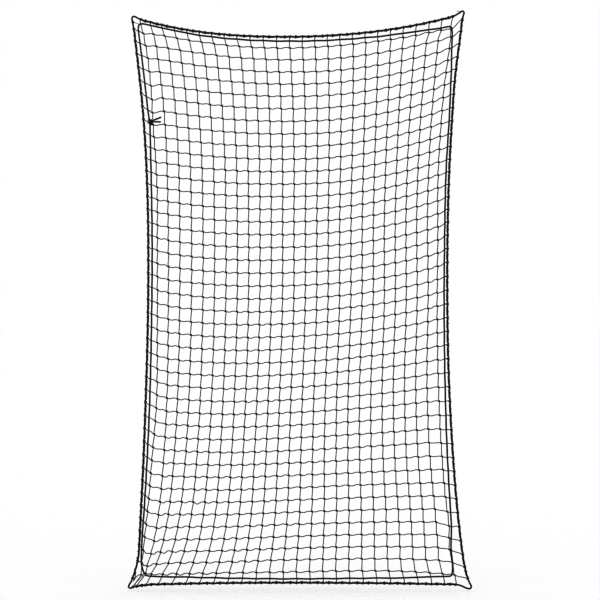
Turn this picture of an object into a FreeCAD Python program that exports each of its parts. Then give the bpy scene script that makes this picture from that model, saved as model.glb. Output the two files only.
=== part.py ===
import FreeCAD, Part
import math
import os

# A pitching net panel of knotted black cord, pulled out at its four corners.
# Millimetres. +X is to the right and +Z up, seen from the pitcher's side, which is -Y.
# The origin is the middle of the panel. Rows count down from the top rope, columns
# from the left rope: row 0 and row 44 are ropes, and so are column 0 and column 27.

# ---- driving dimensions ----
COLUMNS = 26
ROWS = 43
ROPE_DIAMETER = 6.4
TWINE_DIAMETER = 2.6
LASHING_DIAMETER = 2.0
LACING_DIAMETER = 5.6
CLEARANCE = 0.15

# Bars along a row pass in front of bars along a column, this far from the net's middle.
CROSSING_DEPTH = TWINE_DIAMETER / 2 + CLEARANCE
# Half the side of the square that two hooked bights make at a knot.
BIGHT_REACH = 2.8
# The middle of the panel hangs this far back from its edges.
BELLY = 14.0
BELLY_HALF_WIDTH = 560.0
BELLY_HALF_HEIGHT = 1000.0

# Where the row and column twines are hitched to the ropes: (row or column, x, z).
LEFT_ROPE = [
    (1, -608, 993), (3, -597, 899), (6, -581, 756), (9, -569, 613), (14, -558, 380),
    (20, -555, 99), (25, -558, -139), (30, -565, -372), (35, -574, -610),
    (38, -581, -748), (41, -588, -891), (42, -591, -949), (43, -614, -1023),
]
RIGHT_ROPE = [
    (1, 591, 1025), (2, 587, 982), (4, 574, 886), (6, 564, 798), (9, 554, 653),
    (13, 544, 467), (18, 538, 237), (22, 537, 35), (28, 542, -266), (33, 555, -526),
    (38, 575, -777), (41, 593, -929), (42, 600, -975), (43, 612, -1020),
]
TOP_ROPE = [
    (1, -585, 1024), (2, -547, 1014), (5, -413, 986), (9, -231, 966), (13, -37, 961),
    (17, 145, 968), (21, 331, 988), (24, 472, 1014), (25, 519, 1025), (26, 560, 1035),
]
BOTTOM_ROPE = [
    (1, -611, -1047), (2, -602, -1046), (3, -565, -1040), (5, -470, -1037),
    (8, -318, -1034), (13, -63, -1032), (18, 179, -1033), (22, 379, -1035),
    (24, 479, -1037), (26, 571, -1038),
]
# The rope's turn round each corner, between the last hitch of one side and the
# first of the next, going clockwise from the top left.
TOP_LEFT_TIP = [(-613, 1017), (-615, 1031), (-607, 1037)]
TOP_RIGHT_TIP = [(581, 1048), (592, 1056), (599, 1050), (595, 1038)]
BOTTOM_RIGHT_TIP = [(620, -1036), (626, -1047), (619, -1055), (604, -1051), (589, -1043)]
BOTTOM_LEFT_TIP = [(-619, -1053), (-628, -1048), (-624, -1038)]

# The net's knots along its outermost columns and rows: (row or column, x, z).
FIRST_COLUMN = [
    (1, -573, 973), (3, -557, 883), (6, -542, 732), (7, -540, 684), (8, -538, 640),
    (9, -534, 595), (13, -523, 412), (18, -522, 181), (24, -522, -108), (30, -526, -394),
    (34, -541, -582), (37, -552, -719), (40, -567, -858), (42, -578, -960), (43, -582, -1003),
]
LAST_COLUMN = [
    (1, 549, 989), (2, 549, 960), (3, 544, 918), (6, 526, 785), (9, 514, 644), (13, 503, 456),
    (18, 502, 219), (24, 500, -71), (28, 503, -268), (33, 514, -522), (37, 530, -719),
    (39, 543, -825), (41, 545, -911), (42, 555, -958), (43, 563, -1004),
]
FIRST_ROW = [
    (1, -573, 973), (2, -536, 970), (5, -406, 948), (8, -269, 930), (12, -85, 920),
    (16, 101, 926), (20, 284, 945), (23, 421, 966), (25, 513, 985), (26, 549, 989),
]
LAST_ROW = [
    (1, -582, -1003), (2, -565, -998), (3, -544, -1001), (5, -452, -1000), (9, -258, -996),
    (13, -63, -993), (18, 178, -989), (22, 371, -990), (25, 519, -999), (26, 563, -1004),
]
# The same one column or row further in. The rest of the net hangs between these.
SECOND_COLUMN = [
    (2, -526, 926), (5, -507, 785), (9, -491, 592), (15, -483, 313), (22, -482, -22),
    (29, -487, -358), (34, -500, -595), (38, -518, -784), (41, -545, -926),
    (42, -559, -971),
]
LATE_COLUMN = [
    (2, 503, 946), (5, 491, 814), (9, 477, 632), (15, 465, 351), (22, 467, 17),
    (29, 463, -322), (34, 473, -570), (38, 491, -763), (42, 506, -950),
]
SECOND_ROW = [
    (2, -526, 926), (5, -395, 905), (9, -216, 884), (13, -35, 877), (17, 148, 884),
    (21, 328, 909), (25, 503, 946),
]
LATE_ROW = [
    (2, -559, -971), (3, -525, -964), (4, -482, -961), (8, -296, -957),
    (13, -60, -949), (18, 177, -945), (22, 365, -945), (25, 506, -950),
]
# How far the loose middle of the net drifts to the right, more so on its left and
# in its upper half, and how far it sags.
DRIFT = 8.0
LEFT_DRIFT = 9.0
UPPER_DRIFT = 3.0
SAG = 12.0
LEFT_SAG = 4.0

# The lacing cord crosses the outermost bars at these shares of the way from the
# rope to the first knot: (row or column, share).
LACING_LEFT = [
    (1, 0.50), (3, 0.46), (6, 0.50), (7, 0.56), (9, 0.62), (11, 0.50), (13, 0.44), (18, 0.44), (24, 0.40),
    (30, 0.39), (34, 0.45), (37, 0.50), (40, 0.85), (42, 0.95),
]
LACING_TOP = [(2, 0.30), (6, 0.34), (13, 0.39), (20, 0.54), (24, 0.74), (25, 0.85)]
LACING_RIGHT = [
    (1, 0.90), (3, 0.78), (5, 0.47), (7, 0.33), (13, 0.30), (20, 0.32), (28, 0.37), (33, 0.49),
    (37, 0.62), (40, 0.84), (42, 0.98),
]
LACING_BOTTOM = [(4, 0.78), (5, 0.72), (9, 0.48), (13, 0.36), (18, 0.38), (22, 0.48), (25, 0.76)]
# The cord's turns inside the four corners, clockwise from the top left.
LACING_TOP_LEFT = [(-591, 998), (-584, 1010)]
LACING_TOP_RIGHT = [(546, 999)]
LACING_BOTTOM_RIGHT = [(555, -1000), (548, -1008)]
LACING_BOTTOM_LEFT = [(-560, -1007), (-568, -999), (-575, -984)]
# It weaves in and out between the bars, but stays in front this near a corner.
FRONT_MESHES = 5
# Further room between the cord and a bar, where it lies in front and where it weaves.
FRONT_EXTRA = 2.1
WEAVE_EXTRA = 0.9
# Its knot stands in front of this row's bar, and takes the place of a crossing.
LACING_KNOT_ROW = 8
LACING_KNOT = (-545, 648)
KNOT_STANDOFF = 14.2
KNOT_TURNS = 4
KNOT_TURN_SPACING = 5.2
KNOT_CORD_RADIUS = 3.2
KNOT_TURN_RADIUS = 6.2
KNOT_STRAIGHT = 16.0
TAIL_LENGTHS = {"upper": 25.5, "lower": 22.5}
TAIL_RISES = {"upper": 24.0, "lower": 1.0}
TAIL_ROOT_HEIGHTS = {"upper": 7.2, "lower": 1.4}

# The round turns of lashing twine between two hitches, along the top and bottom
# ropes and along the side ropes.
TURNS_ALONG_ENDS = 2
TURNS_ALONG_SIDES = 1
# The twines, counted round from the top left, that end beside a corner eye.
LONE_TWINES = (1, 44, 69)

ROPE_RADIUS = ROPE_DIAMETER / 2
TWINE_RADIUS = TWINE_DIAMETER / 2
LASHING_RADIUS = LASHING_DIAMETER / 2
LACING_RADIUS = LACING_DIAMETER / 2
RUN_SHARE = 0.45
TURN_SIDES = 8
TURN_STEP = 2 * math.pi / TURN_SIDES
HITCH_START = 1.5
HITCH_PITCH = 2.8
LASHING_PITCH = 2.4
SHORTEST_LASHED_RUN = 28.0
END_KNOT_RADIUS = 1.5
SHORTEST_END_RUN = 16.0
# How far out from the rope's middle a twine's centre line turns round it, and how far
# in front of it or behind it a hitch begins.
HITCH_RADIUS = (ROPE_RADIUS + TWINE_RADIUS + CLEARANCE) / math.cos(TURN_STEP / 2)
HITCH_DEPTH = HITCH_RADIUS * math.sin(HITCH_START * TURN_STEP)


# ---- the panel's shape ----
def smooth(keys, number):
    """The (x, z) at a row or column number, on a smooth curve through the keys."""
    last = len(keys) - 1
    i = max(0, min(last - 1, sum(1 for key in keys[1:] if key[0] <= number)))

    def slope(m, axis):
        before = max(m, 1)
        after = min(m, last - 1)
        back = (keys[before][axis] - keys[before - 1][axis]) / (keys[before][0] - keys[before - 1][0])
        ahead = (keys[after + 1][axis] - keys[after][axis]) / (keys[after + 1][0] - keys[after][0])
        back_weight = keys[after + 1][0] - keys[after][0]
        ahead_weight = keys[before][0] - keys[before - 1][0]
        return (back * back_weight + ahead * ahead_weight) / (back_weight + ahead_weight)

    span = keys[i + 1][0] - keys[i][0]
    t = (number - keys[i][0]) / span
    values = []
    for axis in range(1, len(keys[0])):
        value = (2 * t**3 - 3 * t**2 + 1) * keys[i][axis]
        value += (t**3 - 2 * t**2 + t) * slope(i, axis) * span
        value += (3 * t**2 - 2 * t**3) * keys[i + 1][axis]
        value += (t**3 - t**2) * slope(i + 1, axis) * span
        values.append(value)
    return values


def inner_knot(column, row):
    """A knot inside the second and last-but-one rows and columns: (x, z)."""
    s = (column - 2) / (COLUMNS - 3)
    t = (row - 2) / (ROWS - 3)
    left = smooth(SECOND_COLUMN, row)
    right = smooth(LATE_COLUMN, row)
    top = smooth(SECOND_ROW, column)
    bottom = smooth(LATE_ROW, column)
    spot = []
    for axis in (0, 1):
        corners = (1 - s) * (1 - t) * SECOND_ROW[0][axis + 1] + s * (1 - t) * SECOND_ROW[-1][axis + 1]
        corners += (1 - s) * t * LATE_ROW[0][axis + 1] + s * t * LATE_ROW[-1][axis + 1]
        sides = (1 - s) * left[axis] + s * right[axis]
        ends = (1 - t) * top[axis] + t * bottom[axis]
        spot.append(sides + ends - corners)
    across = 1 - abs(2 * s - 1) ** 3
    down = math.sin(math.pi * t)
    spot[0] += across * (DRIFT + LEFT_DRIFT * (1 - 2 * s)) * down
    spot[0] += across * UPPER_DRIFT * math.sin(2 * math.pi * t)
    spot[1] -= across * (SAG + LEFT_SAG * (1 - 2 * s)) * down
    return spot


def between(a, b, share):
    return [a[0] + (b[0] - a[0]) * share, a[1] + (b[1] - a[1]) * share]


def place_knots():
    """Every knot and hitch of the net: {(column, row): (x, z)}."""
    spots = {}
    for column in range(1, COLUMNS + 1):
        spots[column, 0] = smooth(TOP_ROPE, column)
        spots[column, 1] = smooth(FIRST_ROW, column)
        spots[column, ROWS] = smooth(LAST_ROW, column)
        spots[column, ROWS + 1] = smooth(BOTTOM_ROPE, column)
    for row in range(1, ROWS + 1):
        spots[0, row] = smooth(LEFT_ROPE, row)
        spots[1, row] = smooth(FIRST_COLUMN, row)
        spots[COLUMNS, row] = smooth(LAST_COLUMN, row)
        spots[COLUMNS + 1, row] = smooth(RIGHT_ROPE, row)
    for column in range(2, COLUMNS):
        for row in range(2, ROWS):
            spots[column, row] = inner_knot(column, row)
    return spots


def depth(x, z):
    """How far back the net's middle surface lies at a place."""
    return BELLY * max(0, 1 - (x / BELLY_HALF_WIDTH) ** 2) * max(0, 1 - (z / BELLY_HALF_HEIGHT) ** 2)


SPOTS = place_knots()


# ---- tubes ----
def bend(before, here, after):
    """The arc that rounds a corner, as large as its two runs allow: start, middle, end."""
    inward = (here - before).normalize()
    outward = (after - here).normalize()
    reach = RUN_SHARE * min((here - before).Length, (after - here).Length)
    half_turn = inward.getAngle(outward) / 2
    radius = reach / math.tan(half_turn)
    bisector = (outward - inward).normalize()
    middle = here + bisector * (radius / math.cos(half_turn) - radius)
    return here - inward * reach, middle, here + outward * reach


def rounded_path(points):
    """A wire of straight runs joined by tangent arcs."""
    edges = []
    last_end = points[0]
    for corner in zip(points, points[1:], points[2:]):
        start, middle, end = bend(*corner)
        edges.append(Part.LineSegment(last_end, start).toShape())
        edges.append(Part.Arc(start, middle, end).toShape())
        last_end = end
    edges.append(Part.LineSegment(last_end, points[-1]).toShape())
    return Part.Wire(edges)


def tube(wire, radius, label):
    """A round tube along a smooth wire, checked against its section times its length."""
    first = wire.Edges[0]
    start = first.valueAt(first.FirstParameter)
    heading = first.tangentAt(first.FirstParameter)
    section = Part.Wire(Part.makeCircle(radius, start, heading))
    solid = wire.makePipeShell([section], True, False)
    wanted = math.pi * radius**2 * wire.Length
    print(f"{label}: length {wire.Length:.0f}, volume {solid.Volume / wanted:.4f} of wanted")
    return solid


def mitred_tube(points, radius):
    """A round tube along straight runs that meet in mitres."""
    wire = Part.makePolygon(points)
    section = Part.Wire(Part.makeCircle(radius, points[0], points[1] - points[0]))
    return wire.makePipeShell([section], True, False, 1)


def write(name, solids):
    shape = solids[0] if len(solids) == 1 else Part.makeCompound(solids)
    shape.exportStep(f"parts/{name}.step")
    print(f"{name}: {len(shape.Solids)} solids, valid {shape.isValid()}, volume {shape.Volume:.0f}")


# ---- border rope and its lashing ----
def side_points(side):
    """The rope's centre at each hitch of a side, clockwise round the panel."""
    if side == "top":
        return [SPOTS[column, 0] for column in range(1, COLUMNS + 1)]
    if side == "right":
        return [SPOTS[COLUMNS + 1, row] for row in range(1, ROWS + 1)]
    if side == "bottom":
        return [SPOTS[column, ROWS + 1] for column in range(COLUMNS, 0, -1)]
    return [SPOTS[0, row] for row in range(ROWS, 0, -1)]


SIDES = ("top", "right", "bottom", "left")
CORNERS = ("top_right", "bottom_right", "bottom_left", "top_left")
TIPS = dict(zip(SIDES, (TOP_RIGHT_TIP, BOTTOM_RIGHT_TIP, BOTTOM_LEFT_TIP, TOP_LEFT_TIP)))


def rope_lengths():
    """The rope in eight lengths that meet face to face: {name: points}, four sides and
    four corners. A corner runs from half way between the last two hitches of a side."""
    lengths = {}
    for i, (side, corner) in enumerate(zip(SIDES, CORNERS)):
        here = side_points(side)
        following = side_points(SIDES[(i + 1) % len(SIDES)])
        seam = between(here[-2], here[-1], 0.5)
        next_seam = between(following[0], following[1], 0.5)
        lengths[side] = [between(here[0], here[1], 0.5)] + here[1:-1] + [seam]
        lengths[f"{corner}_corner"] = [seam, here[-1]] + TIPS[side] + [following[0], next_seam]
    return {
        name: [FreeCAD.Vector(x, 0, z) for x, z in spots] for name, spots in lengths.items()
    }


def rope_centres():
    """The rope's centre and heading where it bends at each hitch: {(x, z): (centre, heading)}."""
    centres = {}
    for points in rope_lengths().values():
        for before, here, after in zip(points, points[1:], points[2:]):
            start, middle, end = bend(before, here, after)
            centres[here.x, here.z] = (middle, (end - start).normalize())
    return centres


ROPE_CENTRES = rope_centres()


def make_border_rope():
    for place, points in rope_lengths().items():
        name = f"border_rope_{place}"
        write(name, [tube(rounded_path(points), ROPE_RADIUS, name)])


def round_turn(centre, along, thickness, start, pitch):
    """One turn of twine about the rope, in mitred runs: its corners."""
    inward = FreeCAD.Vector(along.z, 0, -along.x)
    back = FreeCAD.Vector(0, 1, 0)
    radius = (ROPE_RADIUS + thickness + CLEARANCE) / math.cos(TURN_STEP / 2)
    corners = []
    for n in range(TURN_SIDES):
        angle = start + TURN_STEP * n
        ring = inward * (radius * math.cos(angle)) + back * (radius * math.sin(angle))
        corners.append(centre + ring + along * (pitch * (n / TURN_SIDES - 0.5)))
    return corners


def make_lashing(side, turns):
    """The lashing along one side: turns between the hitches, and a knot at each end."""
    points = [FreeCAD.Vector(x, 0, z) for x, z in side_points(side)]
    solids = []
    for a, b in zip(points, points[1:]):
        run = b - a
        if run.Length < SHORTEST_LASHED_RUN:
            continue
        along = FreeCAD.Vector(run).normalize()
        for n in range(1, turns + 1):
            corners = round_turn(a + run * (n / (turns + 1)), along, LASHING_RADIUS, 0, LASHING_PITCH)
            solids.append(mitred_tube(corners, LASHING_RADIUS))
    tip_before = TIPS[SIDES[SIDES.index(side) - 1]]
    for end, (x, z) in ((points[0], tip_before[-1]), (points[-1], TIPS[side][0])):
        run = FreeCAD.Vector(x, 0, z) - end
        if run.Length < SHORTEST_END_RUN:
            continue
        along = FreeCAD.Vector(run).normalize()
        corners = round_turn(end + run * 0.5, along, END_KNOT_RADIUS, 0, 2 * LASHING_PITCH)
        solids.append(mitred_tube(corners, END_KNOT_RADIUS))
    write(f"{side}_lashing", solids)


# ---- the net's twines ----
def bight(column, row, lower_right):
    """Where a bight turns at a knot: its corner, in front and behind. It lies between
    the two bars of the twine that it hooks."""
    x, z = SPOTS[column, row]
    step = 1 if lower_right else -1
    pulls = []
    for neighbour in ((column + step, row), (column, row + step)):
        next_x, next_z = SPOTS[neighbour]
        pulls.append(FreeCAD.Vector(next_x - x, 0, next_z - z).normalize())
    half_angle = pulls[0].getAngle(pulls[1]) / 2
    reach = (pulls[0] + pulls[1]).normalize() * (BIGHT_REACH / math.sin(half_angle))
    corner = FreeCAD.Vector(x, depth(x, z), z) + reach
    front = corner - FreeCAD.Vector(0, CROSSING_DEPTH, 0)
    behind = corner + FreeCAD.Vector(0, CROSSING_DEPTH, 0)
    return front, behind


def hitch(side, number):
    """A twine's round turn about the rope: its corners, from the net outwards."""
    points = side_points(side)
    clockwise = side in ("top", "right")
    x, z = points[number - 1 if clockwise else len(points) - number]
    centre, along = ROPE_CENTRES[x, z]
    corners = round_turn(centre, along, TWINE_RADIUS, HITCH_START * TURN_STEP, HITCH_PITCH)
    if side in ("left", "right"):
        return [FreeCAD.Vector(corner.x, -corner.y, corner.z) for corner in corners]
    return corners


def twine_path(number):
    """One twine of the net. It climbs to the right, a bar along and a bar up, and
    hooks its lower neighbour's bights and its upper neighbour's in turn."""
    if number <= ROWS:
        column, row, going_along = 1, number, True
        points = hitch("left", row)[::-1]
    else:
        column, row, going_along = number - ROWS, ROWS, False
        points = hitch("bottom", column)[::-1]
    while True:
        front, behind = bight(column, row, going_along)
        points += [front, behind] if going_along else [behind, front]
        if going_along:
            row -= 1
        else:
            column += 1
        going_along = not going_along
        if row == 0:
            return points + hitch("top", column)
        if column > COLUMNS:
            return points + hitch("right", row)


def make_twines():
    """Two twines to a node, but the three that end beside a corner eye stand alone."""
    number = 1
    while number <= ROWS + COLUMNS:
        alone = number in LONE_TWINES
        numbers = [number] if alone else [number, number + 1]
        solids = [mitred_tube(twine_path(number), TWINE_RADIUS) for number in numbers]
        write("net_twine_" + "_".join(f"{number:02d}" for number in numbers), solids)
        number += len(numbers)


# ---- lacing cord ----
def lacing_side(side):
    """The cord's points along one side, clockwise: in front of or behind each bar."""
    shares = {
        "left": LACING_LEFT, "top": LACING_TOP, "right": LACING_RIGHT, "bottom": LACING_BOTTOM,
    }[side]
    last = ROWS if side in ("left", "right") else COLUMNS
    numbers = range(shares[0][0], shares[-1][0] + 1)
    points = []
    for number in numbers:
        if side == "left" and number == LACING_KNOT_ROW:
            points += lacing_at_knot()
            continue
        outer, inner = {
            "left": ((0, number), (1, number)),
            "right": ((COLUMNS + 1, number), (COLUMNS, number)),
            "top": ((number, 0), (number, 1)),
            "bottom": ((number, ROWS + 1), (number, ROWS)),
        }[side]
        share = smooth(shares, number)[0]
        x, z = between(SPOTS[outer], SPOTS[inner], share)
        bar = HITCH_DEPTH + (CROSSING_DEPTH - HITCH_DEPTH) * share
        if side in ("left", "right"):
            bar = -bar
        bar += depth(*SPOTS[inner]) * share
        apart = TWINE_RADIUS + LACING_RADIUS + CLEARANCE
        near_corner = number <= FRONT_MESHES or number > last - FRONT_MESHES
        at_knot = side == "left" and abs(number - LACING_KNOT_ROW) <= 2
        if near_corner or at_knot:
            y = min(bar, -CROSSING_DEPTH) - apart - FRONT_EXTRA
        elif number % 2:
            y = bar - apart / (1 - RUN_SHARE) - WEAVE_EXTRA
        else:
            y = bar + apart / (1 - RUN_SHARE) + WEAVE_EXTRA
        points.append(FreeCAD.Vector(x, y, z))
    return points if side in ("top", "right") else points[::-1]


def lacing_at_knot():
    """The cord's straight run through its knot, downwards: two ends that nearly meet."""
    x, z = LACING_KNOT
    return [FreeCAD.Vector(x, -KNOT_STANDOFF, z + KNOT_STRAIGHT * up) for up in (1, 0, -1)]


def lacing_points():
    """The cord's points, clockwise all round the panel from its knot to its knot."""
    front = -CROSSING_DEPTH - TWINE_RADIUS - LACING_RADIUS - CLEARANCE
    corners = {
        "top": LACING_TOP_RIGHT, "right": LACING_BOTTOM_RIGHT, "bottom": LACING_BOTTOM_LEFT,
        "left": LACING_TOP_LEFT,
    }
    points = []
    for side in SIDES:
        points += lacing_side(side)
        points += [FreeCAD.Vector(x, front, z) for x, z in corners[side]]
    middle = points.index(lacing_at_knot()[1])
    gap = FreeCAD.Vector(0, 0, CLEARANCE)
    start, end = points[middle] + gap, points[middle] - gap
    return [start] + points[middle + 1:] + points[:middle] + [end]


def make_lacing():
    write("lacing_cord", [tube(rounded_path(lacing_points()), LACING_RADIUS, "lacing_cord")])
    centre = lacing_at_knot()[1]
    up = FreeCAD.Vector(0, 0, 1)
    turns = []
    for n in range(KNOT_TURNS):
        middle = centre + up * (KNOT_TURN_SPACING * (n - (KNOT_TURNS - 1) / 2))
        turns.append(Part.makeTorus(KNOT_TURN_RADIUS, KNOT_CORD_RADIUS, middle, up))
    knot = turns[0].multiFuse(turns[1:])
    write("lacing_knot", knot.Solids)
    outside = KNOT_TURN_RADIUS + KNOT_CORD_RADIUS + LACING_RADIUS + CLEARANCE
    for name, length in TAIL_LENGTHS.items():
        root = centre + FreeCAD.Vector(outside, 0, TAIL_ROOT_HEIGHTS[name])
        rise = math.radians(TAIL_RISES[name])
        heading = FreeCAD.Vector(math.cos(rise), 0, math.sin(rise))
        stem = Part.makeCylinder(LACING_RADIUS, length - LACING_RADIUS, root, heading)
        tail = stem.fuse(Part.makeSphere(LACING_RADIUS, root))
        write(f"lacing_tail_{name}", tail.Solids)


os.makedirs("parts", exist_ok=True)
make_border_rope()
for side in SIDES:
    make_lashing(side, TURNS_ALONG_ENDS if side in ("top", "bottom") else TURNS_ALONG_SIDES)
make_lacing()
make_twines()
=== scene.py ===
import math

import bpy
import numpy as np
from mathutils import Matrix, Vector


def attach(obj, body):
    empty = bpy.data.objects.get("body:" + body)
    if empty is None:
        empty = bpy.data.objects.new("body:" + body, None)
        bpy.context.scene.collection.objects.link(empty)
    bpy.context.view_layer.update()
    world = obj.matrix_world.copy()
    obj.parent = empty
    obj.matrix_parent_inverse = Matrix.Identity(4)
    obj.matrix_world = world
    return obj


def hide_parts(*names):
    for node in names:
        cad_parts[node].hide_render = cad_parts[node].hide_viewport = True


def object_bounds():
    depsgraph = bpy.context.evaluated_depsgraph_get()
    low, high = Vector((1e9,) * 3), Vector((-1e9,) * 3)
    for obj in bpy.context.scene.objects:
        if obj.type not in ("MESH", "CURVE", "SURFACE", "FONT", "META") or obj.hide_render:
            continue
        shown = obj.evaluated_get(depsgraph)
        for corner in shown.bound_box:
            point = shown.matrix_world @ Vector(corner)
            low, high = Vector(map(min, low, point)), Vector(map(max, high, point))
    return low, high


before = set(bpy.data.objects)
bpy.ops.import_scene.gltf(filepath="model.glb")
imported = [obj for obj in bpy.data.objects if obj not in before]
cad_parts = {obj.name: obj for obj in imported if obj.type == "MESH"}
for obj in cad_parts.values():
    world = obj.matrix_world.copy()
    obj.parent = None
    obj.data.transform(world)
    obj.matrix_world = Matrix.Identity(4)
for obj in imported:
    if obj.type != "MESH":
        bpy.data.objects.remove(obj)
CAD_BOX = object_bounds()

# The net's rows count down from the top rope and its columns from the left rope:
# row 0 and row 44 are ropes, and so are column 0 and column 27. Metres throughout.
COLUMNS = 26
ROWS = 43
ROPE_RADIUS = 0.0032
TWINE_RADIUS = 0.0013
LASHING_RADIUS = 0.001
LACING_RADIUS = 0.0028
# The soft twine and cord fluff out, and the hitches and lashing squeeze the rope.
TWINE_FULLNESS = 1.26
LACING_FULLNESS = 1.02
ROPE_FULLNESS = 0.93
# How far a twine stands off the net's middle surface at a knot.
CROSSING_DEPTH = 0.00145
# How far the net bellies backwards, and half the belly's width and height.
BELLY = 0.014
BELLY_HALF_WIDTH = 0.56
BELLY_HALF_HEIGHT = 1.0

# Where the row and column twines are hitched to the ropes: (row or column, x, z).
LEFT_ROPE = [
    (1, -0.608, 0.993), (3, -0.597, 0.899), (6, -0.581, 0.756), (9, -0.569, 0.613),
    (14, -0.558, 0.380), (20, -0.555, 0.099), (25, -0.558, -0.139), (30, -0.565, -0.372),
    (35, -0.574, -0.610), (38, -0.581, -0.748), (41, -0.588, -0.891), (42, -0.591, -0.949),
    (43, -0.614, -1.023),
]
RIGHT_ROPE = [
    (1, 0.591, 1.025), (2, 0.587, 0.982), (4, 0.574, 0.886), (6, 0.564, 0.798), (9, 0.554, 0.653),
    (13, 0.544, 0.467), (18, 0.538, 0.237), (22, 0.537, 0.035), (28, 0.542, -0.266),
    (33, 0.555, -0.526), (38, 0.575, -0.777), (41, 0.593, -0.929), (42, 0.600, -0.975),
    (43, 0.612, -1.020),
]
TOP_ROPE = [
    (1, -0.585, 1.024), (2, -0.547, 1.014), (5, -0.413, 0.986), (9, -0.231, 0.966),
    (13, -0.037, 0.961), (17, 0.145, 0.968), (21, 0.331, 0.988), (24, 0.472, 1.014),
    (25, 0.519, 1.025), (26, 0.560, 1.035),
]
BOTTOM_ROPE = [
    (1, -0.611, -1.047), (2, -0.602, -1.046), (3, -0.565, -1.040), (5, -0.470, -1.037),
    (8, -0.318, -1.034), (13, -0.063, -1.032), (18, 0.179, -1.033), (22, 0.379, -1.035),
    (24, 0.479, -1.037), (26, 0.571, -1.038),
]
# The rope's turn round each corner, and the lacing cord's turn inside it.
TOP_LEFT_TIP = [(-0.613, 1.017), (-0.615, 1.031), (-0.607, 1.037)]
TOP_RIGHT_TIP = [(0.581, 1.048), (0.592, 1.056), (0.599, 1.050), (0.595, 1.038)]
BOTTOM_RIGHT_TIP = [(0.620, -1.036), (0.626, -1.047), (0.619, -1.055), (0.604, -1.051), (0.589, -1.043)]
BOTTOM_LEFT_TIP = [(-0.619, -1.053), (-0.628, -1.048), (-0.624, -1.038)]
LACING_TOP_LEFT = [(-0.591, 0.998), (-0.584, 1.010)]
LACING_TOP_RIGHT = [(0.546, 0.999)]
LACING_BOTTOM_RIGHT = [(0.555, -1.000), (0.548, -1.008)]
LACING_BOTTOM_LEFT = [(-0.560, -1.007), (-0.568, -0.999), (-0.575, -0.984)]
# The net's knots along its outermost columns and rows: (row or column, x, z).
FIRST_COLUMN = [
    (1, -0.573, 0.973), (3, -0.557, 0.883), (6, -0.542, 0.732), (7, -0.540, 0.684),
    (8, -0.538, 0.640), (9, -0.534, 0.595), (13, -0.523, 0.412), (18, -0.522, 0.181),
    (24, -0.522, -0.108), (30, -0.526, -0.394), (34, -0.542, -0.585), (37, -0.553, -0.725),
    (40, -0.568, -0.865), (42, -0.578, -0.960), (43, -0.582, -1.003),
]
LAST_COLUMN = [
    (1, 0.549, 0.989), (2, 0.549, 0.960), (3, 0.544, 0.918), (6, 0.526, 0.785), (9, 0.514, 0.644),
    (13, 0.503, 0.456), (18, 0.502, 0.219), (24, 0.500, -0.071), (28, 0.503, -0.268),
    (33, 0.514, -0.522), (37, 0.530, -0.719), (39, 0.543, -0.825), (41, 0.545, -0.911),
    (42, 0.555, -0.958), (43, 0.563, -1.004),
]
FIRST_ROW = [
    (1, -0.573, 0.973), (2, -0.536, 0.970), (5, -0.406, 0.948), (8, -0.269, 0.930),
    (12, -0.085, 0.920), (16, 0.101, 0.926), (20, 0.284, 0.945), (23, 0.421, 0.966),
    (25, 0.513, 0.985), (26, 0.549, 0.989),
]
LAST_ROW = [
    (1, -0.582, -1.003), (2, -0.565, -0.998), (3, -0.544, -1.001), (5, -0.452, -1.000),
    (9, -0.258, -0.996), (13, -0.063, -0.993), (18, 0.178, -0.989), (22, 0.371, -0.990),
    (25, 0.519, -0.999), (26, 0.563, -1.004),
]
# The same one column or row further in. The rest of the net hangs between these.
SECOND_COLUMN = [
    (2, -0.526, 0.926), (5, -0.507, 0.785), (9, -0.491, 0.592), (15, -0.483, 0.313),
    (22, -0.482, -0.022), (29, -0.487, -0.358), (34, -0.500, -0.595), (38, -0.518, -0.784),
    (41, -0.545, -0.926), (42, -0.559, -0.971),
]
LATE_COLUMN = [
    (2, 0.503, 0.946), (5, 0.491, 0.814), (9, 0.477, 0.632), (15, 0.465, 0.351),
    (22, 0.467, 0.017), (29, 0.463, -0.322), (34, 0.473, -0.570), (38, 0.491, -0.763),
    (42, 0.506, -0.950),
]
SECOND_ROW = [
    (2, -0.526, 0.926), (5, -0.395, 0.905), (9, -0.216, 0.884), (13, -0.035, 0.877),
    (17, 0.148, 0.884), (21, 0.328, 0.909), (25, 0.503, 0.946),
]
LATE_ROW = [
    (2, -0.559, -0.971), (3, -0.525, -0.964), (4, -0.482, -0.961), (8, -0.296, -0.957),
    (13, -0.060, -0.949), (18, 0.177, -0.945), (22, 0.365, -0.945), (25, 0.506, -0.950),
]
# How far the net hangs to the right of and below an even blend of its four sides.
DRIFT = 0.008
LEFT_DRIFT = 0.009
UPPER_DRIFT = 0.003
SAG = 0.012
LEFT_SAG = 0.004
# The net's small unevenness that the CAD model leaves out, at most 8 mm: shares of the
# drift and sag near the left and right sides, and distances elsewhere.
EDGE_SHIFT_SHARE = 0.5
EDGE_SAG_SHARE = 0.35
LOW_LEFT_SHIFT = 0.0050
LOW_MIDDLE_SHIFT = 0.0045
RIGHT_SHIFT = 0.0026
LOW_SAG = 0.0045
EVEN_SAG = 0.0022
UPPER_LIFT = 0.0045

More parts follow.
